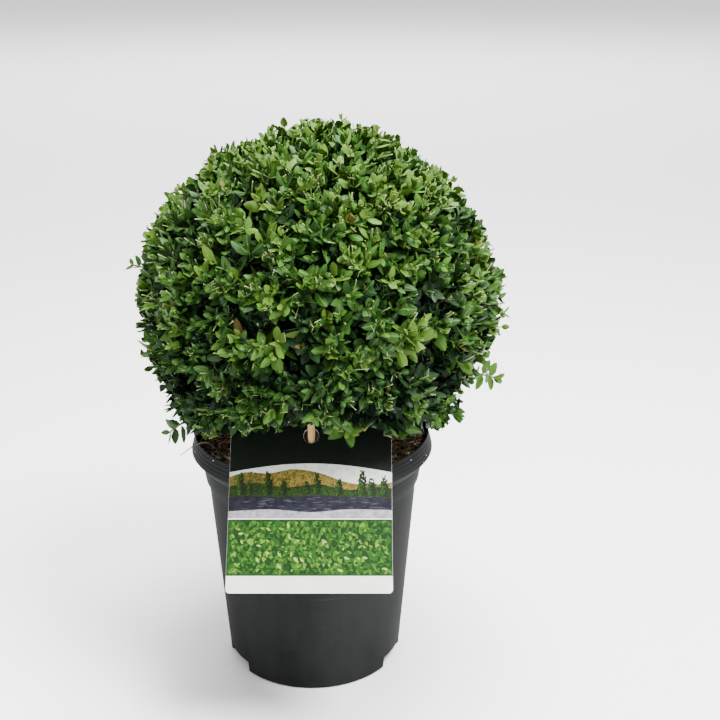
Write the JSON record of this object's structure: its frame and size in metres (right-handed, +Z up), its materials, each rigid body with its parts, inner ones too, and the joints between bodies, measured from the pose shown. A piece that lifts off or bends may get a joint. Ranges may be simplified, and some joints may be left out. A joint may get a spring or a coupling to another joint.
{
  "type": "box topiary ball in a nursery pot",
  "caption": "Evergreen shrub clipped to a dense leafy ball on a short stem, in a tapered plastic nursery pot with a leaning picture label held by a peg.",
  "frame": {"origin": "middle of the pot's flat underside", "axes": "+Z up through the pot and the ball; -Y towards the front, where the label leans; +X to the right seen from the front"},
  "size_m": [0.3144, 0.3041, 0.4699],
  "materials": {
    "pot": "satin charcoal injection-moulded plastic, a little rubbed",
    "potting_mix": "dark moist bark and peat mix with pale chips and white specks",
    "bark": "grey-tan finely ridged bark",
    "foliage": "small leathery glossy leaves, fresh green outside and dark inside",
    "label": "printed semi-gloss card with a white edge",
    "peg": "plain pale wood"
  },
  "bodies": {
    "root": {"pot": "pot", "potting_mix": "potting_mix", "main_stem": "bark", "bough_1": "bark", "bough_2": "bark", "bough_3": "bark", "bough_4": "bark", "bough_5": "bark", "bough_6": "bark", "foliage_ball": "foliage", "shoot_right_low": "foliage", "shoot_right_mid": "foliage", "shoot_left_high": "foliage", "shoot_left_low": "foliage", "shoot_front": "foliage", "label": "label", "peg": "peg"}
  },
  "joints": []
}
